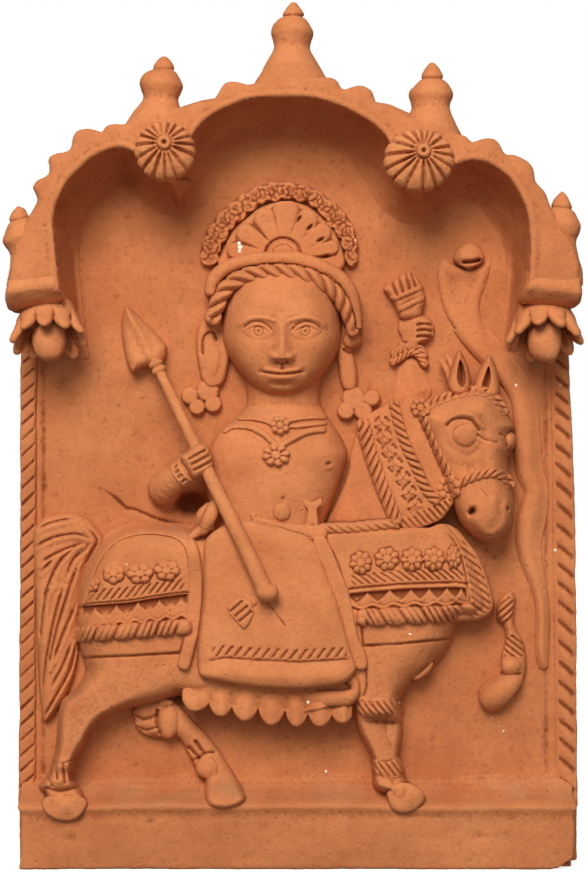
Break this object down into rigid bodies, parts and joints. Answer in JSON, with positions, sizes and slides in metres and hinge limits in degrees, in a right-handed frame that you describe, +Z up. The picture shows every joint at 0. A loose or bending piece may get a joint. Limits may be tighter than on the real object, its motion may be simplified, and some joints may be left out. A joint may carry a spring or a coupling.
{
  "type": "terracotta relief plaque",
  "caption": "Fired clay votive plaque: a slab on a plinth under a cusped arch with turned finials and flower capitals, with a rider on a draped horse in applied relief.",
  "frame": {"origin": "middle of the plinth's underside, on the surface the plaque stands on", "axes": "+Z up, the relief faces -Y, +X to the viewer's right"},
  "size_m": [0.3037, 0.0743, 0.4562],
  "materials": {
    "terracotta_slab": "matte",
    "terracotta_relief": "matte",
    "terracotta_ornament": "matte"
  },
  "bodies": {
    "root": {"arch_hood": "terracotta_slab", "back_slab": "terracotta_slab", "bridle": "terracotta_relief", "cobra": "terracotta_relief", "crown": "terracotta_relief", "crown_finial": "terracotta_ornament", "far_fore_leg": "terracotta_relief", "far_hind_leg": "terracotta_relief", "front_cloth": "terracotta_relief", "front_fringe_roll": "terracotta_relief", "front_girth_band": "terracotta_relief", "halo_roll": "terracotta_relief", "horse_body": "terracotta_relief", "horse_far_ear": "terracotta_relief", "horse_head": "terracotta_relief", "horse_near_ear": "terracotta_relief", "horse_neck": "terracotta_relief", "horse_tail": "terracotta_relief", "left_capital_bud": "terracotta_ornament", "left_capital_flower": "terracotta_ornament", "left_capital_moulding": "terracotta_slab", "left_ear": "terracotta_relief", "left_earring": "terracotta_relief", "left_forearm": "terracotta_relief", "left_hand": "terracotta_relief", "left_pilaster": "terracotta_slab", "left_rosette": "terracotta_ornament", "lotus_bud": "terracotta_relief", "lower_left_finial": "terracotta_ornament", "lower_right_finial": "terracotta_ornament", "mane_band": "terracotta_relief", "near_fore_leg": "terracotta_relief", "near_hind_leg": "terracotta_relief", "necklace_collar": "terracotta_relief", "necklace_pendant": "terracotta_relief", "plinth": "terracotta_slab", "rear_cloth": "terracotta_relief", "rear_fringe_roll": "terracotta_relief", "rear_girth_band": "terracotta_relief", "rider_foot": "terracotta_relief", "rider_head": "terracotta_relief", "rider_torso": "terracotta_relief", "right_arm": "terracotta_relief", "right_bangle": "terracotta_relief", "right_capital_bud": "terracotta_ornament", "right_capital_flower": "terracotta_ornament", "right_capital_moulding": "terracotta_slab", "right_ear": "terracotta_relief", "right_earring": "terracotta_relief", "right_fist": "terracotta_relief", "right_pilaster": "terracotta_slab", "right_rosette": "terracotta_ornament", "saddle_blanket": "terracotta_relief", "spear_head": "terracotta_relief", "spear_shaft": "terracotta_relief", "tunic_skirt": "terracotta_relief", "turban_band": "terracotta_relief", "upper_left_finial": "terracotta_ornament", "upper_right_finial": "terracotta_ornament", "waist_sash": "terracotta_relief"}
  },
  "joints": []
}
